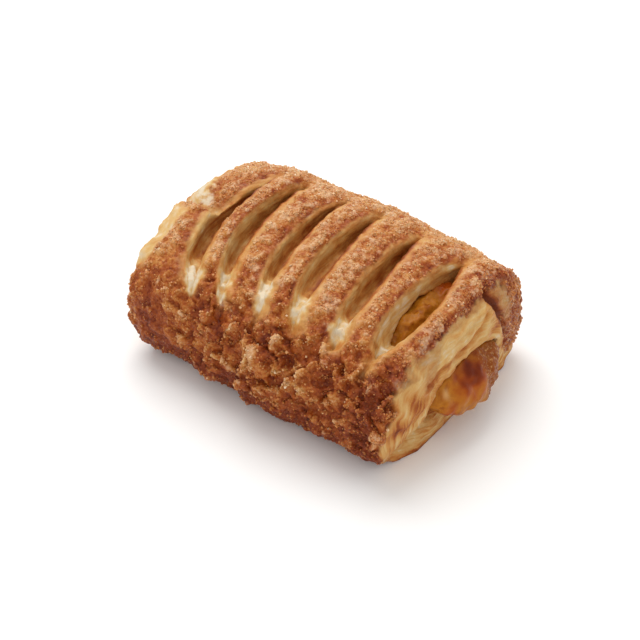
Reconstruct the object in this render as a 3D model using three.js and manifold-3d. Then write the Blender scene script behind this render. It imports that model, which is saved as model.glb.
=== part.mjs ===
// A slice of sugared puff pastry baked round an apple filling.
// One sheet of dough is folded over the filling along the back and pinched together along the front.
// Six slits cut across its top leave seven strips, and the two short ends stay open.
// X runs along the slice, -Y is the pinched front, and the slice rests on Z = 0.
import * as THREE from "three";
import { mergeVertices } from "three/addons/utils/BufferGeometryUtils.js";
import { ImprovedNoise } from "three/addons/math/ImprovedNoise.js";
import Module from "manifold-3d";

const wasm = await Module();
wasm.setup();

// Driving dimensions, in millimetres. Angles are in degrees.
const length = 116;
const width = 86;
const height = 47.2;
const girth = 16; // height of the widest line of the section
const gap = 0.3; // clearance between dough and filling

// The section: a superellipse, squarer below, leaning up towards the folded back.
// Its lowest part is pressed flat where the slice rests.
const section = { topPower: 2.6, basePower: 3.2, lean: 0.1, press: 1.13 };
// How the slice narrows and sinks towards its two ends, and how its sides and top waver.
const taper = { side: 0.11, sidePower: 7, sinkRight: 0.14, sinkLeft: 0.1, sinkPower: 3 };
const waver = { side: 0.9, sideRate: 0.11, fine: 0.5, fineRate: 0.27, top: 0.5, topRate: 0.16 };

// Each slit: where its middle line starts at the front and ends at the back, how far that
// line bows aside, its widest opening, its depth below the strips' edges, and how far it
// reaches across the top. The dough has closed under all but the last, which shows the filling.
const slits = [
  { front: -26.0, back: -37.5, bow: -7.6, open: 9.4, depth: 6.0, from: -38, to: 24 },
  { front: -14.0, back: -27.0, bow: -5.8, open: 6.8, depth: 4.6, from: -37, to: 26 },
  { front: -0.6, back: -10.6, bow: -3.9, open: 7.2, depth: 4.6, from: -34, to: 28 },
  { front: 12.6, back: 4.2, bow: -2.9, open: 7.8, depth: 4.8, from: -33, to: 26 },
  { front: 27.5, back: 21.2, bow: -0.8, open: 7.8, depth: 5.0, from: -32, to: 26 },
  { front: 41.2, back: 40.0, bow: 1.0, open: 11.6, depth: 10.8, from: -28, to: 22 },
];
// A slit is widest towards the front, with blunt ends and sloping walls. It is shallow
// where it is narrow and where it starts, and reaches its depth `deepens` further on.
const slitShape = { widest: 0.76, blunt: 0.62, wall: 0.3, deepFrom: 2.4, shallow: 0.3, deepens: 18 };
const valley = { depth: 2, from: -44, to: -36, ends: 6 }; // each slit runs on down the front as a dip
const crown = 2.6; // how far a strip's rounded edges drop below its middle
const crownPower = 2.6;
const endCrown = 0.4; // that share of it at the outer edges of the first and last strip
const stripRise = [0, 0.4, -0.3, 0.5, -0.2, 0.6, 0]; // some strips baked higher than others

// Wrinkles of the crust: blisters all over, and deeper folds along the crumpled front,
// which lie lower at its left end.
const wrinkles = { blister: 8, blisterHeight: 0.85, fold: 7.5, foldHeight: 2, leftFolds: 0.45 };

// The sugared surface ends at these X on the top, on the sides and at the base.
// The cut layers lean out below it, and `corner` draws the back corner in.
const rightEnd = { out: 1, top: 52.6, side: 54.2, base: 54.6, lean: 5, corner: 1.8 };
const leftEnd = { out: -1, top: -57, side: -53.8, base: -52.5, lean: 4.6, corner: 3 };
const lowFrontCorner = 5.5; // the pinched seam draws the two low front corners in
const capAxis = { y: 0, z: 18 }; // the point that the rings of an end close towards
const capInsets = [0.05, 0.2, 0.42, 0.7]; // rings of an end, as shares of the way in
const layering = { height: 0.7, along: 6, apart: 2.4 }; // the cut layers of an end stand in and out
const lobes = [ // soft dough bulges from the left end at its front, under the torn strip and behind it
  { y: -30, z: 33, spreadY: 8, spreadZ: 6, out: 3.2 },
  { y: -18, z: 36, spreadY: 6, spreadZ: 6, out: 3.4 },
  { y: -1, z: 36, spreadY: 6, spreadZ: 5, out: 3 },
];

// The left strip is torn across. Its front half runs aslant and stands over the back half.
const tear = { at: -8, rise: 1.6, drop: 5.5, run: 17, aslant: 6.5 };

// The filling: a low loaf inside the dough that fills both ends and swells out of the right one.
const filling = { front: -30, back: 33, base: 5.2, belly: 9, roof: 11.5, power: 2.5 };
const lumps = { height: 1.3, size: 9 };
const swell = { x: 41, y: 0, spreadX: 8, spreadY: 20, rise: 6.7 }; // it wells up in the widest slit
const rightMouth = { from: 38, at: 56, y: -1, z: 17.6, halfY: 19.5, halfZ: 8.4, tilt: -5, wedge: 0.28 };
const leftMouth = { from: 36, at: 54, y: 0, z: 20, halfY: 21, halfZ: 10.5, tilt: -8, wedge: 0 };
const tongue = { tip: 64.5, root: 55, droop: 4.4 };
const leftTip = -58.5;
const leftRoot = -50; // the left end of the filling is rounded from here
const roomBeyond = 6; // the room for the filling runs this far past its tips
const mouthSlack = { most: 0.7, from: 40, at: 54 }; // the dough stands further off the filling at its ends
const tipPower = 2.2; // how bluntly the filling's two tips are rounded

const rowCount = 72;
const baseRowShare = 0.35; // the hidden base has its rows this much further apart
const columnsAcrossStrip = [0, 0.1, 0.32, 0.68, 0.9];
const columnsAcrossSlit = [0, slitShape.wall, 0.5, 1 - slitShape.wall];
const fillingGrid = { rows: 24, rings: 36 };
const bandCount = 2 * slits.length + 1;

const noise = new ImprovedNoise();
const lerp = THREE.MathUtils.lerp;
const clamp = THREE.MathUtils.clamp;
const smooth = (value, from, to) => THREE.MathUtils.smoothstep(value, from, to);
const signedPower = (value, power) => Math.sign(value) * Math.abs(value) ** power;
const swirl = (x, y, z, size) => noise.noise(x / size + 7, y / size, z / size);

// Points round the section as [across, up] from -1 to 1, evenly spaced along the dough:
// up the front, over the top, down the back and under the base.
function sectionRows(count) {
  const fine = 1440;
  const points = [];
  let walked = 0;
  for (let i = 0; i <= fine; i++) {
    const angle = Math.PI * (1 - (2 * i) / fine);
    const power = 2 / (Math.sin(angle) >= 0 ? section.topPower : section.basePower);
    const across = signedPower(Math.cos(angle), power);
    const up = signedPower(Math.sin(angle), power);
    if (i > 0) {
      const last = points[i - 1];
      const rise = up > 0 ? height - girth : girth;
      const step = Math.hypot((across - last.across) * (width / 2), (up - last.up) * rise);
      walked += step * (up < -0.8 ? baseRowShare : 1);
    }
    points.push({ across, up, walked });
  }
  const rows = [];
  for (let row = 0, i = 0; row < count; row++) {
    while (points[i].walked < (walked * row) / count) i++;
    rows.push([points[i].across, points[i].up]);
  }
  return rows;
}

// Where a slit's two edges run at a place across the slice.
function slitEdges(slit, y) {
  const share = clamp((y - slit.from) / (slit.to - slit.from), 0, 1);
  const peak = Math.max(0, Math.sin(Math.PI * share ** slitShape.widest));
  const middle = lerp(slit.front, slit.back, share) + slit.bow * peak;
  const open = slit.open * peak ** slitShape.blunt;
  return { left: middle - open / 2, right: middle + open / 2, open };
}

// The X at which the sugared surface ends, for a place round the section.
function endLine(end, across, up) {
  const onTop = smooth(up, 0.2, 0.9);
  const atBase = smooth(-up, 0.3, 0.95);
  const backCorner = end.corner * smooth(across, 0.55, 1);
  const frontCorner = lowFrontCorner * smooth(-across, 0.6, 0.95) * atBase;
  const y = (width / 2) * across;
  const slant = end === leftEnd ? tear.aslant * onTop * (1 - smooth(y, -29, tear.at)) : 0;
  const line = lerp(lerp(end.side, end.top, onTop), end.base, atBase);
  return line - end.out * (backCorner + frontCorner + slant);
}

// The smooth outside of the slice, before strips and relief: X is given, Y and Z follow.
function outside(x, across, up) {
  const u = Math.min(Math.abs(x) / (length / 2), 1);
  const sway = waver.side * Math.sin(x * waver.sideRate + 1.2) + waver.fine * Math.sin(x * waver.fineRate);
  const half = (width / 2) * (1 - taper.side * u ** taper.sidePower);
  const y = half * across + sway * across ** 3;
  const sink = (x > 0 ? taper.sinkRight : taper.sinkLeft) * u ** taper.sinkPower;
  const crest = height * (1 - sink) + waver.top * Math.sin(x * waver.topRate + 0.4);
  const z =
    up >= 0
      ? girth + (crest - girth) * up * (1 + section.lean * across)
      : Math.max(0, girth * (1 + section.press * up));
  return { y, z };
}

// The height of that outside over a place on the slice.
function roofOver(x, y) {
  const across = clamp(y / (width / 2), -1, 1);
  return outside(x, across, (1 - Math.abs(across) ** section.topPower) ** (1 / section.topPower)).z;
}

// The step across the torn strip at the left end.
function tornStep(y) {
  return y < tear.at
    ? tear.rise * smooth(y, tear.at - tear.run, tear.at)
    : -tear.drop * (1 - smooth(y, tear.at + 2, tear.at + tear.run));
}

// The dip in which a slit runs out over the front.
function valleyDrop(slit, y) {
  return valley.depth * smooth(y, valley.from, valley.to) * (1 - smooth(y, slit.from, slit.from + valley.ends));
}

// Wrinkles and blisters of the crust. The pinched front is crumpled into ridges.
function relief(x, y, z, across, up) {
  const front = smooth(-across, 0.4, 0.9) * smooth(up, -0.8, -0.2);
  const crumpled = front * lerp(wrinkles.leftFolds, 1, smooth(x, -45, 5));
  const blisters = swirl(x, y, z, wrinkles.blister) + 0.7 * swirl(x, y, z, wrinkles.blister / 2);
  const ridges = 1 - 2.4 * Math.abs(swirl(x * 0.8, y, z * 1.4 + 30, wrinkles.fold));
  const skin = wrinkles.blisterHeight * blisters + wrinkles.foldHeight * crumpled * ridges;
  return smooth(up, -0.9, -0.4) * skin;
}

// A point of the crust: which band of the top it is in (strips are even, slits are odd),
// how far across that band, and the row round the section.
function crustPoint(band, share, [across, up]) {
  const flatY = outside(0, across, up).y;
  const edges = slits.map((slit) => slitEdges(slit, flatY));
  const lines = [
    endLine(leftEnd, across, up),
    ...edges.flatMap(({ left, right }) => [left, right]),
    endLine(rightEnd, across, up),
  ];
  const x = lerp(lines[band], lines[band + 1], share);
  const { y, z } = outside(x, across, up);
  const onTop = smooth(up, 0.3, 0.6);
  const alongSlits = smooth(flatY, -41, -28) * (1 - smooth(flatY, 24, 33)) * onTop;
  let drop = 0;
  if (band % 2) {
    const slit = (band - 1) / 2;
    const wall = smooth(Math.min(share, 1 - share), 0, slitShape.wall);
    const open = smooth(edges[slit].open, 0, slitShape.deepFrom);
    const { depth, from } = slits[slit];
    const along = lerp(slitShape.shallow, 1, smooth(flatY, from, from + slitShape.deepens));
    drop = crown * alongSlits + depth * onTop * wall * open * along + valleyDrop(slits[slit], flatY);
  } else {
    const aside = 2 * share - 1;
    const slit = slits[aside < 0 ? band / 2 - 1 : band / 2];
    drop = crown * (slit ? 1 : endCrown) * Math.abs(aside) ** crownPower - stripRise[band / 2];
    drop *= alongSlits;
    if (slit) drop += valleyDrop(slit, flatY) * Math.abs(aside) ** 2;
  }
  if (band === 0) drop -= tornStep(flatY) * onTop;
  const swelling = z > 0.5 ? relief(x, y, z, across, up) / Math.hypot(across, up) : 0;
  return new THREE.Vector3(x, y + swelling * across, Math.max(0, z - drop + swelling * up));
}

// How far a lobe of the left end stands out at a place on the end.
function lobeAt(lobe, y, z) {
  const away = ((y - lobe.y) / lobe.spreadY) ** 2 + ((z - lobe.z) / lobe.spreadZ) ** 2;
  return lobe.out * Math.exp(-away);
}

// A point of an end face: from the edge of the crust in towards the middle of the end.
function capPoint(end, inset, row) {
  const atRight = end === rightEnd;
  const rim = crustPoint(atRight ? bandCount - 1 : 0, atRight ? 1 : 0, row);
  const y = lerp(rim.y, capAxis.y, inset);
  const z = lerp(rim.z, capAxis.z, inset);
  const leaning = end.lean * smooth(inset, 0, 0.3) * smooth(row[1], -0.95, 0.8);
  const rounding = 0.8 * end.corner * smooth(inset, 0, 0.3) * smooth(row[0], 0.55, 1);
  const layers = layering.height * noise.noise(y / layering.along, z / layering.apart, atRight ? 3 : 8);
  const bulge = atRight ? 0 : Math.max(...lobes.map((lobe) => lobeAt(lobe, y, z)));
  return new THREE.Vector3(rim.x + end.out * (leaning + rounding + layers + bulge), y, z);
}

// A closed skin: a sphere whose rings of points are moved, one after another, into place.
function closedSkin(rings, rowTotal) {
  const skin = new THREE.SphereGeometry(1, rowTotal, rings.length - 1);
  const position = skin.getAttribute("position");
  rings.forEach((pointAt, ring) => {
    for (let row = 0; row <= rowTotal; row++) {
      const point = pointAt(row % rowTotal);
      position.setXYZ(ring * (rowTotal + 1) + row, point.x, point.y, point.z);
    }
  });
  return skin;
}

function crustSkin() {
  const rows = sectionRows(rowCount);
  const middleOf = (end) => () =>
    new THREE.Vector3(end.side + end.out * end.lean, capAxis.y, capAxis.z);
  const capRings = (end) => capInsets.map((inset) => (row) => capPoint(end, inset, rows[row]));
  const rings = [middleOf(leftEnd), ...capRings(leftEnd).reverse()];
  for (let band = 0; band < bandCount; band++) {
    for (const share of band % 2 ? columnsAcrossSlit : columnsAcrossStrip) {
      rings.push((row) => crustPoint(band, share, rows[row]));
    }
  }
  rings.push((row) => crustPoint(bandCount - 1, 1, rows[row]));
  rings.push(...capRings(rightEnd), middleOf(rightEnd));
  return closedSkin(rings, rowCount);
}

// Where the filling's surface lies at an X, for a direction round its section.
// `grow` swells it into the room that it takes in the dough.
function fillingPoint(x, angle, fullness, grow) {
  const across = signedPower(Math.cos(angle), 2 / filling.power);
  const up = signedPower(Math.sin(angle), 2 / filling.power);
  const yMiddle = (filling.front + filling.back) / 2;
  const zMiddle = filling.base + filling.belly;
  let y = yMiddle + ((filling.back - filling.front) / 2) * across;
  const well = swell.rise * Math.exp(-(((x - swell.x) / swell.spreadX) ** 2));
  const roof = roofOver(x, y) - filling.roof + well * Math.exp(-(((y - swell.y) / swell.spreadY) ** 2));
  let z = zMiddle + (up >= 0 ? roof - zMiddle : zMiddle - filling.base) * up;
  const mouth = x > 0 ? rightMouth : leftMouth;
  const toMouth = smooth(Math.abs(x), mouth.from, mouth.at);
  const tilt = THREE.MathUtils.degToRad(mouth.tilt);
  const halfZ = mouth.halfZ * (1 + mouth.wedge * across);
  const mouthY = mouth.halfY * across * Math.cos(tilt) - halfZ * up * Math.sin(tilt);
  const mouthZ = mouth.halfY * across * Math.sin(tilt) + halfZ * up * Math.cos(tilt);
  const yAxis = lerp(yMiddle, mouth.y, toMouth);
  const zAxis = lerp(zMiddle, mouth.z, toMouth);
  y = lerp(y, mouth.y + mouthY, toMouth);
  z = lerp(z, mouth.z + mouthZ, toMouth);
  const out = grow + lumps.height * swirl(x, y, z, lumps.size);
  const droop = tongue.droop * smooth(x, tongue.root + 1, tongue.tip);
  return new THREE.Vector3(
    x,
    lerp(yAxis, y + across * out, fullness),
    lerp(zAxis, z + up * out, fullness) - droop,
  );
}

// The filling itself, with rounded ends, or the room for it, which runs on out of the dough.
// Both have their rings at the same places, so that the clearance between them stays even.
function fillingSkin(isRoom) {
  const { rows: rowTotal, rings: ringTotal } = fillingGrid;
  const rings = [];
  for (let ring = 0; ring <= ringTotal; ring++) {
    const even = ring / ringTotal;
    const x = lerp(leftTip, tongue.tip, lerp(even, 0.5 - 0.5 * Math.cos(Math.PI * even), 0.6));
    const toRightTip = clamp((x - tongue.root) / (tongue.tip - tongue.root), 0, 1);
    const toLeftTip = clamp((x - leftRoot) / (leftTip - leftRoot), 0, 1);
    const rounded = Math.sqrt(1 - Math.max(toRightTip, toLeftTip) ** tipPower);
    const slack = mouthSlack.most * smooth(Math.abs(x), mouthSlack.from, mouthSlack.at);
    const atTip = ring === 0 || ring === ringTotal;
    const fullness = isRoom && !atTip ? 1 : rounded;
    const grow = isRoom ? gap + slack : 0;
    const beyond = isRoom && atTip ? Math.sign(x) * roomBeyond : 0;
    rings.push((row) => {
      const point = fillingPoint(x, Math.PI * (1 - (2 * row) / rowTotal), fullness, grow);
      point.x += beyond;
      return point;
    });
  }
  return closedSkin(rings, rowTotal);
}

// A three.js geometry as a manifold-3d solid, and back.
function solidOf(geometry) {
  geometry.deleteAttribute("normal");
  geometry.deleteAttribute("uv");
  const merged = mergeVertices(geometry, 1e-3);
  const corners = merged.index.array;
  const kept = [];
  for (let i = 0; i < corners.length; i += 3) {
    const [a, b, c] = corners.slice(i, i + 3);
    if (a !== b && b !== c && c !== a) kept.push(a, b, c);
  }
  return new wasm.Manifold(
    new wasm.Mesh({
      numProp: 3,
      vertProperties: merged.getAttribute("position").array,
      triVerts: new Uint32Array(kept),
    }),
  );
}

function geometryOf(solid) {
  const { vertProperties, triVerts } = solid.getMesh();
  const geometry = new THREE.BufferGeometry();
  geometry.setAttribute("position", new THREE.BufferAttribute(vertProperties, 3));
  geometry.setIndex(new THREE.BufferAttribute(triVerts, 1));
  geometry.computeVertexNormals();
  return geometry;
}

// Loose crumbs that the cuts leave are dropped.
function largestPiece(solid) {
  return solid.decompose().reduce((best, piece) => (piece.volume() > best.volume() ? piece : best));
}

function named(name, geometry, material) {
  const mesh = new THREE.Mesh(geometry, new THREE.MeshStandardMaterial(material));
  mesh.name = name;
  return mesh;
}

const dough = largestPiece(solidOf(crustSkin()).subtract(solidOf(fillingSkin(true))));
const slice = new THREE.Group();
slice.name = "filled_pastry_slice";
slice.add(named("pastry", geometryOf(dough), { color: 0xb87840, roughness: 0.6, metalness: 0 }));
slice.add(named("filling", fillingSkin(false), { color: 0xc98a2b, roughness: 0.3, metalness: 0 }));

export default slice;
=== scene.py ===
import math

import bmesh
import bpy
import numpy as np
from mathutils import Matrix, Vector


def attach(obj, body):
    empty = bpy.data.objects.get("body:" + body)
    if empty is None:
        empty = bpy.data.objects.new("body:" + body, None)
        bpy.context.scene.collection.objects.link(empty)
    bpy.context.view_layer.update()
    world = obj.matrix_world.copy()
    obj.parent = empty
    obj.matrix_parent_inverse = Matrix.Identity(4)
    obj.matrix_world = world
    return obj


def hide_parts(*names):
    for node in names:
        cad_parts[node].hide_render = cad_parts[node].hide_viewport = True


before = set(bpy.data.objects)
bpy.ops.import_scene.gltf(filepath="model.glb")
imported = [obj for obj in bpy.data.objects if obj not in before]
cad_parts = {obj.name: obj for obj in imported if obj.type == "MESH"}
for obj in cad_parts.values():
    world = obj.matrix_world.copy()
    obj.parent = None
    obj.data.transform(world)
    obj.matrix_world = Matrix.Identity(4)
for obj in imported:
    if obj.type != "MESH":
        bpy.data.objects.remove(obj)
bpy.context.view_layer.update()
mm = 0.001

bpy.context.scene.view_settings.view_transform = "Standard"

camera = {
    "around": 38, "above": 39,  # degrees round from the front and up from the table
    "distance": 531.7 * mm, "aimHeight": 19.33 * mm,
    "lens": 88.17, "shiftX": -0.0085, "shiftY": -0.0245,
}

# the section of the slice and its six slits, as the solid has them
section = {
    "halfLength": 58 * mm, "halfWidth": 43 * mm, "height": 47.2 * mm, "girth": 16 * mm,
    "topPower": 2.6, "basePower": 3.2, "lean": 0.1, "press": 1.13,
    "taper": 0.11, "taperPower": 7, "sinkRight": 0.14, "sinkLeft": 0.1, "sinkPower": 3,
}
slits = [  # in mm: its x at the front and the back, its bow and opening, and the y that it runs between
    {"front": -26.0, "back": -37.5, "bow": -7.6, "open": 9.4, "from": -38, "to": 24},
    {"front": -14.0, "back": -27.0, "bow": -5.8, "open": 6.8, "from": -37, "to": 26},
    {"front": -0.6, "back": -10.6, "bow": -3.9, "open": 7.2, "from": -34, "to": 28},
    {"front": 12.6, "back": 4.2, "bow": -2.9, "open": 7.8, "from": -33, "to": 26},
    {"front": 27.5, "back": 21.2, "bow": -0.8, "open": 7.8, "from": -32, "to": 26},
    {"front": 41.2, "back": 40.0, "bow": 1.0, "open": 11.6, "from": -28, "to": 22},
]
slitShape = {"widest": 0.76, "blunt": 0.62}
stripEnds = {"left": -57 * mm, "right": 54 * mm}  # outer edges of the first and the last strip


def makeCamera():
    data = bpy.data.cameras.new("photoCamera")
    data.lens = camera["lens"]
    data.shift_x = camera["shiftX"]
    data.shift_y = camera["shiftY"]
    around, above = math.radians(camera["around"]), math.radians(camera["above"])
    flat = math.cos(above)
    back = Vector((math.sin(around) * flat, -math.cos(around) * flat, math.sin(above)))
    obj = bpy.data.objects.new("photoCamera", data)
    obj.location = Vector((0, 0, camera["aimHeight"])) + back * camera["distance"]
    obj.rotation_euler = (-back).to_track_quat("-Z", "Y").to_euler()
    data.clip_start, data.clip_end = 0.01, 20
    bpy.context.scene.collection.objects.link(obj)
    bpy.context.scene.camera = obj


# noise for sculpting, on arrays of points

rng = np.random.default_rng(11)
latticeSize = 256
latticeOrder = rng.permutation(latticeSize)
latticeSlopes = rng.normal(size=(latticeSize, 3))
latticeSlopes /= np.linalg.norm(latticeSlopes, axis=1, keepdims=True)


def cornerHash(cell):
    h = latticeOrder[cell[:, 0] % latticeSize]
    h = latticeOrder[(h + cell[:, 1]) % latticeSize]
    return latticeOrder[(h + cell[:, 2]) % latticeSize]


def bumps(points, size, seed=0.0):  # smooth noise from -1 to 1, with swells of that size
    p = points / size + seed * 17.3
    cell = np.floor(p).astype(int)
    f = p - cell
    w = f * f * f * (f * (f * 6 - 15) + 10)
    total = np.zeros(len(points))
    for corner in np.ndindex(2, 2, 2):
        c = np.array(corner)
        slope = latticeSlopes[cornerHash(cell + c)]
        weight = np.prod(np.where(c, w, 1 - w), axis=1)
        total += weight * np.einsum("ij,ij->i", slope, f - c)
    return total * 1.6


def cells(points, size, seed=0.0):  # the two nearest of scattered dots, and the way from the nearest
    p = points / size + seed * 9.1
    base = np.floor(p).astype(int)
    first = np.full(len(points), 9.0)
    second = np.full(len(points), 9.0)
    way = np.zeros_like(p)
    for offset in np.ndindex(3, 3, 3):
        cell = base + np.array(offset) - 1
        toPoint = p - (cell + 0.5 + 0.42 * latticeSlopes[cornerHash(cell)])
        away = np.linalg.norm(toPoint, axis=1)
        second = np.minimum(second, np.maximum(first, away))
        way = np.where((away < first)[:, None], toPoint, way)
        first = np.minimum(first, away)
    return first, second, way


def flaps(points, size, seed, uphill):  # overlapping flakes: how far each lifts, and its lifted rim
    warp = np.stack([bumps(points, size * 0.8, seed + k) for k in (1, 2, 3)], axis=1)
    near, far, way = cells(points + warp * size * 0.4, size, seed)
    lift = np.clip(0.5 + 0.75 * way @ np.array(uphill), 0, 1.2)
    border = far - near
    rim = smooth(lift, 0.5, 0.9) * (1 - smooth(border, 0.1, 0.36))
    return lift * smooth(border, 0.0, 0.14), rim


def domes(points, size, seed, stretch):  # rounded lumps, longer one way: 1 on top, 0 between them
    warp = np.stack([bumps(points, size * 1.2, seed + k) for k in (1, 2, 3)], axis=1)
    along = np.array(stretch) / np.linalg.norm(stretch)
    p = points + warp * size * 0.45
    p = p - 0.45 * (p @ along)[:, None] * along
    near, far, _ = cells(p, size, seed)
    return np.clip(1 - near**2 * 1.5, 0, 1) * smooth(far - near, -0.1, 0.4)


def worms(points, size, seed=0.0):  # winding ridges: 1 on their crests, 0 between them
    warp = np.stack([bumps(points, size * 2, seed + k) for k in (1, 2, 3)], axis=1)
    return np.clip(1 - (2.4 * bumps(points + warp * size * 0.55, size, seed)) ** 2, 0, 1)


def smooth(value, low, high):
    t = np.clip((value - low) / (high - low), 0, 1)
    return t * t * (3 - 2 * t)


# where a point lies in the slice


def place(points):
    s = section
    x, y, z = points.T
    u = np.minimum(np.abs(x) / s["halfLength"], 1)
    half = s["halfWidth"] * (1 - s["taper"] * u ** s["taperPower"])
    sink = np.where(x > 0, s["sinkRight"], s["sinkLeft"]) * u ** s["sinkPower"]
    crest = s["height"] * (1 - sink)
    across = y / half
    rise = (crest - s["girth"]) * (1 + s["lean"] * across)
    above = z > s["girth"]
    up = np.where(above, (z - s["girth"]) / rise, (z / s["girth"] - 1) / s["press"])
    power = np.where(above, s["topPower"], s["basePower"])
    reach = (np.abs(across) ** power + np.abs(up) ** power) ** (1 / power)
    outY = np.sign(across) * np.abs(across) ** (power - 1) / half
    outZ = np.sign(up) * np.abs(up) ** (power - 1) / np.where(above, rise, s["girth"] * s["press"])
    out = np.stack([np.zeros(len(x)), outY, outZ], axis=1)
    out /= np.linalg.norm(out, axis=1, keepdims=True) + 1e-12
    span = np.hypot(y, z - s["girth"]) / np.maximum(reach, 1e-3)
    return {"out": out, "depth": (1 - reach) * span, "across": across}


def slitShare(slit, y):  # how far along a slit: 0 at its front, 1 at its back, with y in mm
    return (y - slit["from"]) / (slit["to"] - slit["from"])


def slitEdges(slit, y):  # its middle line and how wide it is open there
    share = np.clip(slitShare(slit, y / mm), 0, 1)
    peak = np.sin(np.pi * share ** slitShape["widest"]).clip(0)
    middle = slit["front"] + (slit["back"] - slit["front"]) * share + slit["bow"] * peak
    return middle * mm, slit["open"] * peak ** slitShape["blunt"] * mm


def stripPlace(points):  # how far across its strip, from its left edge 0 to its right edge 1
    x, y, _ = points.T
    lines = [slitEdges(slit, y) for slit in slits]
    lefts = np.stack([np.full(len(x), stripEnds["left"])] + [middle + wide / 2 for middle, wide in lines])
    rights = np.stack([middle - wide / 2 for middle, wide in lines] + [np.full(len(x), stripEnds["right"])])
    middles = np.stack([middle for middle, _ in lines])
    strip = (x > middles).sum(axis=0)
    pick = np.arange(len(x))
    left, right = lefts[strip, pick], rights[strip, pick]
    return np.clip((x - left) / (right - left), 0, 1)


def blob(points, centre, radius):  # 1 at a place, fading to 0 round it
    away = (points / mm - np.array(centre)) / np.array(radius)
    return np.exp(-np.einsum("ij,ij->i", away, away))


def alongLine(a, b, line):  # distance of the points (a, b) from a line of corners, all in mm
    best = np.full(len(a), 99.0)
    for (a0, b0), (a1, b1) in zip(line, line[1:]):
        reach = np.hypot(a1 - a0, b1 - b0)
        t = np.clip(((a - a0) * (a1 - a0) + (b - b0) * (b1 - b0)) / reach**2, 0, 1)
        best = np.minimum(best, np.hypot(a - a0 - t * (a1 - a0), b - b0 - t * (b1 - b0)))
    return best


# working on meshes


def copyOfNode(name):
    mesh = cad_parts[name].data.copy()
    mesh.materials.clear()
    bm = bmesh.new()
    bm.from_mesh(mesh)
    bmesh.ops.remove_doubles(bm, verts=bm.verts, dist=0.00001)
    bm.to_mesh(mesh)
    bm.free()
    return mesh


def newObject(name, mesh):
    obj = bpy.data.objects.new(name, mesh)
    bpy.context.scene.collection.objects.link(obj)
    return obj


def applied(obj):  # the mesh with its modifiers worked in
    graph = bpy.context.evaluated_depsgraph_get()
    mesh = bpy.data.meshes.new_from_object(obj.evaluated_get(graph))
    old = obj.data
    obj.modifiers.clear()
    obj.data = mesh
    bpy.data.meshes.remove(old)
    return mesh


def readPoints(mesh):
    flat = np.empty(len(mesh.vertices) * 3, np.float32)
    mesh.vertices.foreach_get("co", flat)
    return flat.reshape(-1, 3).astype(float)


def writePoints(mesh, points):
    mesh.vertices.foreach_set("co", points.astype(np.float32).ravel())
    mesh.update()


def readNormals(mesh):
    flat = np.empty(len(mesh.vertices) * 3, np.float32)
    mesh.vertex_normals.foreach_get("vector", flat)
    return flat.reshape(-1, 3).astype(float)


def setAttribute(mesh, name, values):
    layer = mesh.attributes.get(name) or mesh.attributes.new(name, "FLOAT", "POINT")
    layer.data.foreach_set("value", np.asarray(values, np.float32))


def readAttribute(mesh, name):
    values = np.empty(len(mesh.vertices), np.float32)
    mesh.attributes[name].data.foreach_get("value", values)
    return values


def shadeSmooth(mesh):
    mesh.polygons.foreach_set("use_smooth", np.ones(len(mesh.polygons), bool))
    mesh.update()


def remeshed(name, node, voxel, relax):
    obj = newObject(name, copyOfNode(node))
    grid = obj.modifiers.new("grid", "REMESH")
    grid.mode = "VOXEL"
    grid.voxel_size = voxel
    grid.use_smooth_shade = True
    ease = obj.modifiers.new("ease", "SMOOTH")
    ease.factor = 0.5
    ease.iterations = relax
    applied(obj)
    return obj


def thinned(obj, hidden, facesKept):  # fewer faces, most of all where nothing shows
    weights = np.where(hidden, 1.0, 0.35)
    group = obj.vertex_groups.new(name="thin")
    for weight in (1.0, 0.35):
        group.add(np.nonzero(weights == weight)[0].tolist(), weight, "REPLACE")
    thin = obj.modifiers.new("thin", "DECIMATE")
    thin.ratio = facesKept / (2 * len(obj.data.vertices))
    thin.vertex_group = "thin"
    mesh = applied(obj)
    obj.vertex_groups.clear()
    return mesh


# shader nodes as Python expressions


class Wire:
    def __init__(self, finish, socket):
        self.finish, self.socket = finish, socket

    def maths(self, operation, *values):
        return self.finish.node("ShaderNodeMath", {"operation": operation}, values)

    def __add__(self, other): return self.maths("ADD", self, other)
    def __radd__(self, other): return self.maths("ADD", other, self)
    def __sub__(self, other): return self.maths("SUBTRACT", self, other)
    def __rsub__(self, other): return self.maths("SUBTRACT", other, self)
    def __mul__(self, other): return self.maths("MULTIPLY", self, other)
    def __rmul__(self, other): return self.maths("MULTIPLY", other, self)
    def __truediv__(self, other): return self.maths("DIVIDE", self, other)
    def __pow__(self, other): return self.maths("POWER", self, other)


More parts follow.
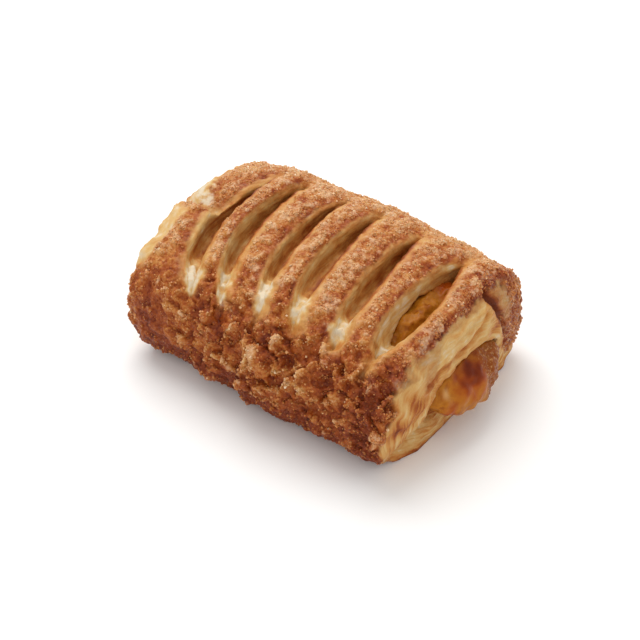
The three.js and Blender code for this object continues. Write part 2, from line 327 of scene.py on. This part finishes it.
class Finish:
    def __init__(self, name):
        self.material = bpy.data.materials.new(name)
        self.material.use_nodes = True
        self.tree = self.material.node_tree
        self.tree.nodes.clear()
        self.where = self.node("ShaderNodeTexCoord", {}, {}, "Object")

    def node(self, kind, settings, values, output=0):
        made = self.tree.nodes.new(kind)
        for key, value in settings.items():
            if key == "stops":
                ramp = made.color_ramp
                while len(ramp.elements) < len(value):
                    ramp.elements.new(0.5)
                for element, (position, colour) in zip(ramp.elements, value):
                    element.position = position
                    element.color = (*colour, 1) if len(colour) == 3 else colour
            else:
                setattr(made, key, value)
        pairs = values.items() if isinstance(values, dict) else enumerate(values)
        for key, value in pairs:
            if isinstance(value, Wire):
                self.tree.links.new(value.socket, made.inputs[key])
            else:
                made.inputs[key].default_value = value
        return Wire(self, made.outputs[output]) if made.outputs else None

    def noise(self, size, detail=2, roughness=0.5, warp=0.0, seed=0.0, at=None):
        values = {
            "Vector": at or self.where, "Scale": 1 / size, "Detail": detail, "W": seed,
            "Roughness": roughness, "Distortion": warp,
        }
        return self.node("ShaderNodeTexNoise", {"noise_dimensions": "4D"}, values)

    def dots(self, size, feature="F1", output="Distance"):
        values = {"Vector": self.where, "Scale": 1 / size}
        return self.node("ShaderNodeTexVoronoi", {"feature": feature}, values, output)

    def channel(self, colour):  # one of a random colour's three numbers
        return self.node("ShaderNodeSeparateColor", {}, [colour])

    def attribute(self, name):
        return self.node("ShaderNodeAttribute", {"attribute_name": name}, {}, "Fac")

    def between(self, value, low, high, outLow=0.0, outHigh=1.0):
        return self.node(
            "ShaderNodeMapRange", {"interpolation_type": "SMOOTHSTEP"}, [value, low, high, outLow, outHigh]
        )

    def blend(self, share, first, second, kind="MIX"):
        settings = {"data_type": "RGBA", "blend_type": kind, "clamp_factor": True}
        first = first if isinstance(first, Wire) else (*first, 1)
        second = second if isinstance(second, Wire) else (*second, 1)
        return self.node("ShaderNodeMix", settings, {0: share, 6: first, 7: second}, 2)

    def ramp(self, value, stops):
        return self.node("ShaderNodeValToRGB", {"stops": stops}, [value])

    def bump(self, height, strength, distance, under=None):
        values = {"Height": height, "Strength": strength, "Distance": distance}
        if under:
            values["Normal"] = under
        return self.node("ShaderNodeBump", {}, values)

    def surface(self, values):
        shader = self.node("ShaderNodeBsdfPrincipled", {}, values)
        self.node("ShaderNodeOutputMaterial", {}, {"Surface": shader})
        return self.material


def paint(red, green, blue):  # a colour as seen on screen, made linear
    shown = (red, green, blue)
    return tuple(((c / 255 + 0.055) / 1.055) ** 2.4 if c > 10 else c / 255 / 12.92 for c in shown)


# the baked crust

crustLook = {
    "voxel": 0.5 * mm, "relax": 9, "facesKept": 196000,
    "golden": paint(210, 158, 92), "tan": paint(186, 116, 50), "brown": paint(160, 78, 20),
    "redBrown": paint(128, 50, 10), "burnt": paint(90, 30, 6), "sugar": paint(224, 188, 152),
    "white": paint(218, 202, 174), "cream": paint(208, 168, 104), "straw": paint(192, 128, 60),
    "ochre": paint(158, 80, 24), "stain": paint(106, 44, 10),
    "endLobes": [  # the torn left end stands out here
        ((-54, -22, 38), (7, 8, 4), 1.6), ((-54, 0, 38), (6, 8, 4.5), 2), ((-55, -28, 36), (6, 6, 6), 2),
    ],
}
rightEnd = {  # on the right end face, as corners (y, z)
    "crest": [(-20, 26), (-16, 32), (-13, 36), (-9, 38), (2, 38.5), (10, 39), (18, 40)],
    "bandFoot": [(-21, 28), (-13, 31), (-2, 30), (7, 32), (12, 36)],
    "crease": [(15, 41), (19, 31), (23, 21), (27, 12)],
    "frontSkin": [(-38, 2), (-42, 13), (-39, 22), (-35, 26), (-34, 31), (-25, 33)],
    "flapEdge": [(31, 2), (26, 12), (22, 21), (19, 31), (15, 41)],
}
crustSpots = {  # places on the crust, each with a radius
    "white": [
        ((-27, -31, 38), (2.6, 5, 4)), ((-16.8, -31, 37), (2.6, 4.4, 4)), ((-2.2, -28, 40), (2.8, 4.4, 4)),
        ((11.9, -27.5, 41), (2.4, 4, 4)), ((24.4, -27, 40), (2.2, 3.6, 4)),
    ],
    "dark": [
        ((49, -40, 27), (7, 6, 8)), ((46, -43, 16), (9, 5, 8)), ((50, -36, 33), (5, 6, 3)),
        ((-42, -43, 20), (10, 6, 8)), ((53, 4, 39), (2.4, 12, 2.6)), ((30, -36, 34), (4, 4, 4)),
    ],
    "orange": [
        ((-7, -38.5, 33), (5, 5, 5)), ((-44, -42, 27), (4, 4, 4)), ((12, -37, 35), (4, 4, 3)),
    ],
}
weighedSpots = {  # the same, each with how strong it is first
    "torn": [
        (0.75, (-53, -1, 39.5), (8, 9, 5)), (0.75, (-57, 6, 40), (5, 6, 5)),
        (1.4, (-58, -18, 37), (5, 10, 7)), (0.9, (-55, -32, 33), (4, 4, 5)),
    ],
    "stained": [
        (0.35, (56.5, -35, 19), (4, 5, 4)), (0.3, (57, -29, 25), (4, 2.5, 4)),
        (0.34, (55, 18, 36), (5, 4, 7)),
    ],
}


def crustFields(points, normals):  # what shows where, from 0 to 1
    spot = place(points)
    x, y, z = points.T / mm
    facing = np.einsum("ij,ij->i", normals, spot["out"])
    depth = spot["depth"] / mm
    wander = bumps(points, 4 * mm, 4)
    skin = smooth(facing + 0.12 * wander, -0.02, 0.24) * (1 - smooth(depth, 4.2, 6))

    atRight = smooth(x, 49.5, 52.5) * smooth(normals[:, 0], 0.2, 0.5)
    crestZ = np.interp(y, *zip(*rightEnd["crest"])) + 0.8 * wander
    frontLine = sorted(rightEnd["frontSkin"], key=lambda corner: corner[1])
    frontY = np.interp(z, [c[1] for c in frontLine], [c[0] for c in frontLine]) + 1.2 * wander
    overCrest = smooth(z - crestZ, -1.0, 0.6) * smooth(y, -25, -20)
    onFront = smooth(frontY - y, -0.8, 0.8)
    flapY = np.interp(z, [c[1] for c in rightEnd["flapEdge"]], [c[0] for c in rightEnd["flapEdge"]])
    onFlap = smooth(y - flapY, 0, 1.6) * smooth(z, 3, 7)
    sugared = np.maximum(np.maximum(overCrest, onFront), onFlap)
    skin = skin * (1 - atRight) + sugared * atRight

    valley = np.zeros(len(x))
    flank = np.zeros(len(x))  # how brown the dough is in a slit: pale at its front, golden at its back and deeper down, partly its own colour and partly painted shade
    for slit in slits:
        middle, wide = slitEdges(slit, points[:, 1])
        past = np.abs(x - middle / mm) - wide / 2 / mm
        inside = (1 - smooth(past + 0.5 * wander, -0.7, 0.9)) * smooth(wide / mm, 1.5, 4)
        inside *= smooth(z, 20, 26) * smooth(y + 3 * wander, slit["from"] + 2, slit["from"] + 8)
        share = slitShare(slit, y)
        aside = (x - middle / mm) / np.maximum(wide / 2 / mm, 0.5)
        golden = 0.32 + 0.2 * smooth(share, 0.3, 0.8) + 0.14 * wander + 0.16 * smooth(depth, 2.5, 6)
        # painted shadow of the next strip: darker towards that strip's edge
        golden += 0.44 * smooth(aside, -0.3, 0.5) * smooth(share, 0.12, 0.35)
        flank = np.where(inside > valley, golden - (0.2 if slit is slits[-1] else 0), flank)
        valley = np.maximum(valley, inside)
    skin *= 1 - valley
    across = stripPlace(points)
    onTop = smooth(z, 27, 33) * smooth(y, -32, -24) * (1 - smooth(y, 22, 30))
    atEdge = smooth(z, 25, 31) * smooth(y, -38, -32) * (1 - smooth(y, 22, 30))
    wide = 0.24 + 0.12 * (1 - smooth(y, -26, -12))
    ragged = 0.09 * wander + 0.07 * bumps(points, 1.8 * mm, 17)
    butter = (1 - smooth((across + ragged) / wide, 0.2, 1)) * atEdge
    butter = np.maximum(butter, 0.8 * smooth((across + ragged - 1) / wide, -0.5, 0)) * atEdge * (1 - valley)
    skin *= 1 - 0.85 * butter

    torn = sum(strength * blob(points, *spotAt) for strength, *spotAt in weighedSpots["torn"])
    webs = np.zeros(len(x))
    for slit in slits:
        middle, _ = slitEdges(slit, points[:, 1])
        near = 1 - smooth(np.abs(x - middle / mm), 1.2, 4)
        along = y - slit["from"]
        reach = smooth(along, 0, 3) * (1 - smooth(along, 9, 16))
        webs = np.maximum(webs, near * reach)
    white = np.maximum(torn, 0.9 * webs * (depth < 7))
    for centre, radius in crustSpots["white"]:
        white = np.maximum(white, blob(points, centre, radius))
    white = smooth(white + 0.34 * wander + 0.34 * bumps(points, 1.6 * mm, 14), 0.25, 1.25)
    skin *= 1 - smooth(white, 0.05, 0.75)
    leftDough = smooth(-50 - x + 0.9 * wander, -0.8, 0.8) * smooth(z, 26, 32)
    leftDough *= smooth(y, -37, -31) * (1 - smooth(y, -13, -9))
    skin *= 1 - leftDough

    dark = sum(blob(points, *spotAt) for spotAt in crustSpots["dark"])
    orange = sum(blob(points, *spotAt) for spotAt in crustSpots["orange"])
    base = (1 - smooth(z, 0.2, 1.4)) * smooth(-normals[:, 2], 0.5, 0.9)
    front = smooth(-spot["across"], 0.5, 0.86) * (1 - base)
    return {
        "x": x, "y": y, "z": z, "depth": depth, "skin": skin, "white": white, "butter": butter,
        "leftDough": leftDough, "across": across, "onTop": onTop, "valley": valley, "flank": flank,
        "flap": onFlap * smooth(x, 44, 50),
        "dark": dark, "orange": orange, "base": base, "front": front, "atRight": atRight,
        "out": spot["out"], "facing": facing,
    }


def puffed(points):  # the strips swell out a little over their slits
    moved = points.copy()
    depth = place(points)["depth"] / mm
    x, y, z = points.T / mm
    for slit in slits:
        middle, wide = slitEdges(slit, points[:, 1])
        aside = x - middle / mm
        edge = np.exp(-(((np.abs(aside) - wide / 2 / mm - 0.6) / 1.6) ** 2)) * smooth(wide / mm, 1, 4)
        puff = edge * (1 - smooth(depth, 3, 6.5)) * smooth(z, 24, 30)
        moved[:, 0] -= np.where(aside > 0, 1.5, -0.6) * puff * mm
        share = slitShare(slit, y)
        web = smooth(share, 0.02, 0.1) * (1 - smooth(share, 0.16, 0.34)) * np.exp(-((aside / 2.4) ** 2))
        moved[:, 2] += 2.2 * mm * web * smooth(z, 24, 30) * (1 + 0.5 * bumps(points, 2.4 * mm, 29))
    middle, wide = slitEdges(slits[0], points[:, 1])
    edge = np.exp(-(((x - middle / mm + wide / 2 / mm + 1) / 2.2) ** 2)) * (1 - smooth(depth, 4, 9))
    moved[:, 0] += 1.8 * mm * edge * smooth(z, 26, 32) * smooth(y, -26, -18)
    for centre, radius, out in crustLook["endLobes"]:
        moved[:, 0] -= out * mm * blob(points, centre, radius)
    return moved


reliefSizes = {  # how wide each kind of roughness on the crust is
    "bigFlakes": 9.6 * mm, "smallFlakes": 5.2 * mm, "bigLumps": 6.4 * mm, "lumps": 5.0 * mm,
    "smallLumps": 2.3 * mm, "twists": 4.8 * mm, "fibres": 1.3 * mm, "pebbles": 1.5 * mm,
    "layers": 1.25 * mm, "thinLayers": 0.6 * mm,
}


def sculptCrust():
    obj = remeshed("crust", "pastry", crustLook["voxel"], crustLook["relax"])
    mesh = obj.data
    points = puffed(readPoints(mesh))
    writePoints(mesh, points)
    normals = readNormals(mesh)
    f = crustFields(points, normals)
    print("crust: remeshed,", len(points), "points")
    low = 1 - smooth(f["z"], 4, 17)
    crumple = f["front"] * (0.55 + 0.45 * smooth(f["x"], -42, -10)) * f["skin"] * (1 - 0.7 * low)
    fibrous = f["front"] * low * f["skin"]
    tidyLeft = 1 - 0.5 * smooth(-f["x"], 20, 40)

    size = reliefSizes
    uphill = (-0.5, 0.2, 0.84)  # the way that flakes lift
    bigLift, bigRim = flaps(points, size["bigFlakes"], 2, uphill)
    _, smallRim = flaps(points, size["smallFlakes"], 5, uphill)
    fibreAt = np.stack([f["x"] * 0.13, f["y"] * 0.6, f["z"]], axis=1) * mm
    fibres = bumps(fibreAt, size["fibres"], 61)
    lumps = domes(points, size["lumps"], 5, (-0.6, 0.1, 0.8))
    bigLumps = domes(points, size["bigLumps"], 3, (-0.35, 0.2, 0.9))
    smallLumps = domes(points, size["smallLumps"], 8, (-0.3, 0.5, 0.6))
    twist = worms(points, size["twists"], 25)
    warp = np.stack([bumps(points, 6 * mm, 40 + k) for k in range(3)], axis=1)
    ragged = smooth(bumps(points, 7 * mm, 31), -0.45, 0.05)
    grains, _, _ = cells(points, size["pebbles"], 1)
    pebbles = 1 - np.clip(grains / 0.75, 0, 1)
    layerAt = np.stack([f["x"] * 0.09, f["y"] * 0.09, f["depth"]], axis=1) * mm
    layers = bumps(layerAt + warp * 0.5 * mm, size["layers"], 3)
    thinLayers = bumps(layerAt + warp * 0.4 * mm, size["thinLayers"], 23)
    swell = 0.6 * bumps(points, 5 * mm, 6) + 0.34 * bumps(points, 2.4 * mm, 7)

    lifts = bigLift * (0.4 + 0.6 * ragged)
    rims = np.maximum(bigRim * ragged, 0.75 * smallRim)
    crags = 1.2 * lifts + 1.5 * rims + 0.5 * lumps + 1.4 * bigLumps + 1.2 * twist - 2.8
    ridge = crumple * tidyLeft * crags
    ridge += 0.6 * fibrous * fibres
    onSkin = swell + ridge + (0.6 - 0.3 * crumple) * (smallLumps - 0.5)
    onSkin += (1 - crumple) * 0.3 * (twist - 0.5) + 0.12 * pebbles
    puffy = 0.9 * bumps(points, 6 * mm, 9) + 0.35 * bumps(points, 2.6 * mm, 19)
    onEnd = puffy + 0.4 * layers + 0.16 * thinLayers
    onCut = 0.16 * layers + 0.3 * bumps(points, 3 * mm, 9) + 0.3 * f["butter"] * (smallLumps - 0.5)
    height = f["skin"] * onSkin + (1 - f["skin"]) * (f["atRight"] * onEnd + (1 - f["atRight"]) * onCut)
    height *= 1 - 0.94 * f["base"]
    crease = np.exp(-((alongLine(f["y"], f["z"], rightEnd["crease"]) / 1.1) ** 2)) * f["atRight"]
    foot = np.exp(-((alongLine(f["y"], f["z"], rightEnd["bandFoot"]) / 0.9) ** 2)) * f["atRight"]
    height -= 2.2 * crease + 0.9 * foot
    moved = points + normals * height[:, None] * mm
    moved[:, 2] += 0.7 * mm * crumple * rims  # lifted rims hang over a little
    moved[:, 2] = np.maximum(moved[:, 2], 0)
    writePoints(mesh, moved)

    across, onTop = f["across"], f["onTop"]
    lastStrip = smooth(f["x"], 44, 52) * (1 - smooth(f["y"], 8, 16)) * smooth(f["z"], 16, 24)
    # darker on the front and darkest low on the front: partly a deeper bake, partly painted shade
    bake = 0.34 + 0.12 * f["front"] + 0.52 * low * f["front"] + 0.26 * smooth(across, 0.62, 0.92) * onTop
    bake += 0.15 * f["dark"] + 0.1 * f["orange"] - 0.08 * smooth(f["y"], 12, 30) * smooth(f["z"], 30, 40)
    bare = smooth(bumps(points, 5.5 * mm, 13) + 0.4 * bumps(points, 2 * mm, 18), 0.2, 0.7)
    bake += 0.14 * bumps(points, 11 * mm, 12) + 0.22 * bare - 0.06 + 0.14 * lastStrip
    # height in the crust's relief, used for painted light on its crests and painted shade in its hollows
    crestLightHollowShade = crumple * (0.8 * rims + 0.1 * lifts + 0.2 * lumps + 0.4 * bigLumps + 0.4 * twist - 0.9)
    crestLightHollowShade += 0.35 * fibrous * fibres
    crestLightHollowShade += (1 - crumple) * (0.3 * smallLumps + 0.2 * twist - 0.25) + 0.3 * swell
    crestLightHollowShade *= f["skin"]
    # crests painted lighter and hollows painted darker: painted light and shade
    bake = np.minimum(bake - 0.46 * crestLightHollowShade, 0.8)
    bake += 0.36 * f["flap"]
    # more sugar colour on the crests of the relief is a painted highlight
    sugar = 0.5 - 0.32 * f["front"] + 0.7 * crestLightHollowShade - 0.3 * smooth(across, 0.7, 1) * onTop
    sugar += 0.25 * bumps(points, 4 * mm, 15) - 0.5 * bare
    stain = 0.4 + 0.24 * layers + 0.24 * thinLayers + 0.26 * bumps(points, 5 * mm, 16)
    stain = (1 - f["valley"]) * stain + f["valley"] * (f["flank"] + 0.14 * layers + 0.1 * thinLayers)
    stain = (1 - f["butter"]) * stain + f["butter"] * (0.42 + 0.14 * bumps(points, 3 * mm, 27))
    stain -= 0.42 * f["white"]
    stain = (1 - f["leftDough"]) * stain + f["leftDough"] * (0.24 + 0.2 * bumps(points, 4 * mm, 28))
    stain += f["atRight"] * (0.35 * (1 - smooth(f["z"], 0, 3)) - 0.14 * smooth(f["z"], 28, 34))
    # painted shade along the crease and along the foot of the band
    stain += 1.2 * crease + 0.25 * foot
    stain += sum(strength * blob(points, *spotAt) for strength, *spotAt in weighedSpots["stained"])
    values = {"skin": f["skin"], "bake": bake, "sugar": sugar, "stain": stain, "depth": f["depth"] * mm}
    for name, value in values.items():
        setAttribute(mesh, name, value)

    hidden = (f["facing"] < -0.15) & (np.abs(f["x"]) < 46) & (f["depth"] > 7)
    hidden |= (f["z"] < 0.4) & (np.abs(f["y"]) < 30)
    thinned(obj, hidden, crustLook["facesKept"])
    shadeSmooth(obj.data)
    print("crust: kept", len(obj.data.polygons), "faces")
    return obj


def crustMaterial():
    f = Finish("bakedCrust")
    look = crustLook
    skin, bake, sugar = f.attribute("skin"), f.attribute("bake"), f.attribute("sugar")
    stain, depth = f.attribute("stain"), f.attribute("depth")
    blotch = f.noise(4 * mm, 3, 0.6)
    fleck = f.noise(1.5 * mm, 3, 0.6, 0.4, 3)
    pebble = f.dots(0.95 * mm)
    pebbleTone = f.channel(f.dots(0.95 * mm, output="Color"))
    fine = f.dots(0.5 * mm)
    # sugar colour on the grains' tips, partly the sugar's own paler colour, partly a painted highlight; the
    # gaps between grains get painted shade
    tipSugarAndLight = (1 - f.between(pebble, 0.12, 0.6)) * (0.35 + 0.65 * pebbleTone)
    fineTipLight = 1 - f.between(fine, 0.1, 0.55)
    gapShade = f.between(pebble, 0.45, 0.85)
    tone = bake + (blotch - 0.5) * 0.4 + (fleck - 0.5) * 0.42 + gapShade * 0.16 - fineTipLight * 0.08
    brown = f.ramp(tone, [
        (0.0, look["golden"]), (0.3, look["tan"]), (0.52, look["brown"]), (0.78, look["redBrown"]),
        (1.0, look["burnt"]),
    ])
    pale = 1 - f.between(bake, 0.45, 0.95) * 0.7
    crust = f.between(f.noise(2.2 * mm, 3, 0.6, 0.5, 8) + (sugar - 0.5) * 0.7, 0.42, 0.68)
    brown = f.blend(crust * pale * 0.5, brown, look["sugar"])
    brown = f.blend(tipSugarAndLight * f.between(sugar, 0.1, 0.8, 0.15, 1.0) * pale * 0.5, brown, look["sugar"])

    x, y = (f.node("ShaderNodeSeparateXYZ", {}, [f.where], k) for k in (0, 1))
    flakeAt = f.node("ShaderNodeCombineXYZ", {}, [depth, x * 0.14, y * 0.14])
    flakes = f.noise(0.7 * mm, 4, 0.65, 0.5, 12, flakeAt)
    cut = f.ramp(stain + (blotch - 0.5) * 0.3 + (flakes - 0.5) * 0.6, [
        (0.0, look["white"]), (0.25, look["cream"]), (0.5, look["straw"]), (0.72, look["ochre"]),
        (1.0, look["stain"]),
    ])
    colour = f.blend(skin, cut, brown)
    under = f.bump(fleck, 0.4, 0.4 * mm)
    under = f.bump(flakes * (1 - skin), 0.6, 0.5 * mm, under)
    under = f.bump((1 - pebble) * skin, 0.6, 0.5 * mm, under)
    normal = f.bump((1 - fine) * skin, 0.4, 0.2 * mm, under)
    return f.surface({
        "Base Color": colour, "Roughness": 0.46 - tipSugarAndLight * skin * 0.16, "Normal": normal,
        "Subsurface Weight": 0.08, "Subsurface Radius": (0.003, 0.0018, 0.0008), "Subsurface Scale": 0.5,
        "Specular IOR Level": 0.2,
    })


# the sugar on it

sugarLook = {
    "coarse": {"count": 4200, "from": 0.4 * mm, "to": 0.75 * mm},
    "fine": {"count": 10000, "from": 0.24 * mm, "to": 0.42 * mm},
    "sunk": 0.42,  # how far of its size each lies in the crust
    "clumps": 5 * mm,
    "caramel": paint(156, 80, 28), "golden": paint(194, 124, 62), "pale": paint(224, 180, 132),
    "white": paint(244, 222, 192),
}


def spotsOn(mesh, count, chance):  # places on a mesh, likelier where its points' chance is high
    mesh.calc_loop_triangles()
    corners = np.empty(len(mesh.loop_triangles) * 3, np.int32)
    mesh.loop_triangles.foreach_get("vertices", corners)
    corners = corners.reshape(-1, 3)
    points = readPoints(mesh)
    a, b, c = (points[corners[:, k]] for k in range(3))
    normal = np.cross(b - a, c - a)
    area = np.linalg.norm(normal, axis=1) + 1e-15
    weight = area * chance(points)[corners].mean(axis=1)
    pick = rng.choice(len(corners), count, p=weight / weight.sum())
    s, t = rng.random((2, count, 1))
    s, t = np.where(s + t > 1, 1 - s, s), np.where(s + t > 1, 1 - t, t)
    spots = a[pick] + s * (b - a)[pick] + t * (c - a)[pick]
    return spots, (normal / area[:, None])[pick], corners[pick, 0]


def turns(count):  # random turns, as matrices
    q = rng.normal(size=(count, 4))
    w, x, y, z = (q / np.linalg.norm(q, axis=1, keepdims=True)).T
    rows = [
        [1 - 2 * (y * y + z * z), 2 * (x * y - z * w), 2 * (x * z + y * w)],
        [2 * (x * y + z * w), 1 - 2 * (x * x + z * z), 2 * (y * z - x * w)],
        [2 * (x * z - y * w), 2 * (y * z + x * w), 1 - 2 * (x * x + y * y)],
    ]
    return np.array(rows).transpose(2, 0, 1)


def crystalMesh(name, centres, sizes, tints):
    bm = bmesh.new()
    bmesh.ops.create_cube(bm, size=1)
    corners = np.array([v.co[:] for v in bm.verts])
    faces = np.array([[v.index for v in face.verts] for face in bm.faces])
    bm.free()
    count = len(centres)
    shape = corners * rng.uniform(0.65, 1.1, (count, 1, 3)) + rng.normal(0, 0.07, (count, 8, 3))
    points = np.einsum("nij,nkj->nki", turns(count), shape) * sizes[:, None, None] + centres[:, None]
    quads = faces[None] + 8 * np.arange(count)[:, None, None]
    mesh = bpy.data.meshes.new(name)
    mesh.from_pydata(points.reshape(-1, 3), [], quads.reshape(-1, 4).tolist())
    setAttribute(mesh, "tint", np.repeat(tints, 8))
    return mesh


def sprinkleSugar(crust, name):
    look, kind = sugarLook, sugarLook[name]
    skin, bake, dusted = (readAttribute(crust.data, n) for n in ("skin", "bake", "sugar"))

    def chance(points):
        clumps = smooth(bumps(points, look["clumps"], 51) + 0.5 * bumps(points, 2 * mm, 52), -0.5, 0.6)
        chances = (skin > 0.7) * (0.2 + clumps) * np.clip(dusted, 0.1, 1)
        return chances * smooth(points[:, 2] / mm, 1, 6) + 1e-9

    centres, normals, near = spotsOn(crust.data, kind["count"], chance)
    sizes = rng.uniform(kind["from"], kind["to"], kind["count"])
    centres += normals * (sizes * (0.5 - look["sunk"]))[:, None]
    # each crystal takes the crust's tone under it, its painted shade and light included
    tints = 0.72 - 0.75 * bake[near] + rng.normal(0, 0.07, kind["count"])
    tints += 0.3 * (rng.random(kind["count"]) < 0.04)
    return newObject(name + "Sugar", crystalMesh(name + "Sugar", centres, sizes, np.clip(tints, 0, 1)))


def sugarMaterial():
    f = Finish("bakedSugar")
    look = sugarLook
    colour = f.ramp(f.attribute("tint"), [
        (0.0, look["caramel"]), (0.35, look["golden"]), (0.7, look["pale"]), (1.0, look["white"]),
    ])
    return f.surface({
        "Base Color": colour, "Roughness": 0.36, "Specular IOR Level": 0.3,
        "Subsurface Weight": 0.3, "Subsurface Radius": (0.001, 0.0006, 0.0004), "Subsurface Scale": 0.5,
    })


# the stewed apple

fillingLook = {
    "voxel": 0.6 * mm, "relax": 4,
    "amber": paint(146, 76, 16), "yellow": paint(180, 112, 28), "dark": paint(96, 28, 3),
    "orange": paint(164, 66, 8), "pale": paint(206, 158, 100), "crusty": paint(132, 64, 22),
    "jamHeap": ((40, 14, 36), (6, 6, 7)),  # jam wells up at the back of the widest slit
    "jam": [((39, 15, 38), (8, 7, 8)), ((62.4, -1, 22.5), (9, 11, 9)), ((60, -15, 13), (6, 3, 4))],
    "scorched": [((62.6, -0.5, 24), (7, 8.5, 6)), ((60, -16, 12), (5, 3.4, 3.4))],
    "clear": [((60, -9, 29), (6, 8, 3.5)), ((59.5, 9.8, 29.5), (5, 4, 2.4)), ((64, -7, 16), (4, 6, 3))],
    "lip": [((61, -14, 22), (4, 1.8, 2.5))],
}


def sculptFilling():
    look = fillingLook
    obj = remeshed("stewedApple", "filling", look["voxel"], look["relax"])
    mesh = obj.data
    points, normals = readPoints(mesh), readNormals(mesh)
    lumps = 1.0 * bumps(points, 6.5 * mm, 21) + 0.4 * bumps(points, 3 * mm, 22)
    chunks, _, _ = cells(points, 8 * mm, 21)
    inSlit = 1 - smooth(points[:, 0] / mm, 48, 52)
    lumps += inSlit * (2 * (0.6 - chunks) + 0.4 * bumps(points, 1.6 * mm, 31))
    gritty = smooth(points[:, 1] / mm + 1.2 * bumps(points, 4 * mm, 30), 3, 6)
    gritty = gritty * smooth(points[:, 0] / mm, 55, 59)
    gritty *= 1 - smooth(points[:, 2] / mm, 26, 30)
    lumps += gritty * 0.6 * bumps(points, 1.3 * mm, 24)
    moved = points + normals * (lumps[:, None] - 0.2) * mm
    moved[:, 2] += 3.6 * mm * blob(points, *look["jamHeap"]) * (normals[:, 2] > 0)
    writePoints(mesh, moved)
    shadeSmooth(mesh)
    ragged = 0.35 * bumps(points, 3 * mm, 26)
    for name in ("scorched", "clear", "lip", "jam"):
        value = sum(blob(points, *spot) for spot in look[name])
        setAttribute(mesh, name, smooth(value + ragged * (value > 0.02), 0.15, 0.95))
    setAttribute(mesh, "gritty", gritty)
    print("filling:", len(mesh.vertices), "points")
    return obj


def fillingMaterial():
    f = Finish("stewedApple")
    look = fillingLook
    cloud = f.noise(4 * mm, 3, 0.55, 0.5)
    colour = f.ramp(cloud, [(0.3, look["amber"]), (0.55, look["yellow"]), (0.72, look["amber"])])
    colour = f.blend(f.attribute("clear") * 0.7, colour, look["yellow"])
    colour = f.blend(f.attribute("jam") * 0.9, colour, look["orange"])
    colour = f.blend(f.attribute("scorched") * 0.92, colour, look["dark"])
    colour = f.blend(f.attribute("lip") * 0.7, colour, look["pale"])
    sparkle = f.between(f.noise(0.9 * mm, 3, 0.7), 0.52, 0.66)
    colour = f.blend(f.attribute("gritty") * 0.8, colour, look["crusty"])
    colour = f.blend(f.attribute("gritty") * sparkle * 0.7, colour, look["pale"])
    return f.surface({
        "Base Color": colour, "Roughness": 0.3, "Normal": f.bump(f.noise(1.4 * mm, 3), 0.35, 0.5 * mm),
        "Subsurface Weight": 0.08, "Subsurface Radius": (0.006, 0.002, 0.0006), "Subsurface Scale": 0.4,
        "Specular IOR Level": 0.1, "Coat Weight": 0.05, "Coat Roughness": 0.08,
    })


# the table and the light

studio = {
    "floor": paint(250, 249, 247), "world": 0.8,
    "lights": [  # name, place, size, power, aimed at the middle of the slice
        ("key", (-0.6, 0.4, 1.1), 1.25, 11.8),
        ("fill", (0.9, -0.9, 0.9), 1.2, 1.2),
    ],
}


def makeStudio():
    bm = bmesh.new()
    bmesh.ops.create_grid(bm, x_segments=1, y_segments=1, size=3)
    mesh = bpy.data.meshes.new("table")
    bm.to_mesh(mesh)
    bm.free()
    table = newObject("table", mesh)
    f = Finish("paleTable")
    tone = f.noise(0.2, 2)
    colour = f.blend(tone * 0.1, studio["floor"], (0.9, 0.9, 0.9))
    mesh.materials.append(f.surface({"Base Color": colour, "Roughness": 0.6, "Specular IOR Level": 0.2}))
    world = bpy.data.worlds.new("studio")
    world.use_nodes = True
    world.node_tree.nodes["Background"].inputs[0].default_value = (1, 1, 1, 1)
    world.node_tree.nodes["Background"].inputs[1].default_value = studio["world"]
    bpy.context.scene.world = world
    for name, spot, size, power in studio["lights"]:
        data = bpy.data.lights.new(name, "AREA")
        data.shape = "DISK"
        data.size = size
        data.energy = power
        lamp = bpy.data.objects.new(name, data)
        lamp.location = spot
        lamp.rotation_euler = (Vector((0, 0, 0.02)) - Vector(spot)).to_track_quat("-Z", "Y").to_euler()
        bpy.context.scene.collection.objects.link(lamp)


makeCamera()
makeStudio()
print("camera, table and lights are set")

crust = sculptCrust()
crust.data.materials.append(crustMaterial())
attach(crust, "root")
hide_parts("pastry")

stewedApple = sculptFilling()
stewedApple.data.materials.append(fillingMaterial())
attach(stewedApple, "root")
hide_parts("filling")
print("crust and filling are made")

bakedSugar = sugarMaterial()
for grade in ("coarse", "fine"):
    sugar = sprinkleSugar(crust, grade)
    sugar.data.materials.append(bakedSugar)
    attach(sugar, "root")
    print(grade, "sugar:", len(sugar.data.polygons), "faces")
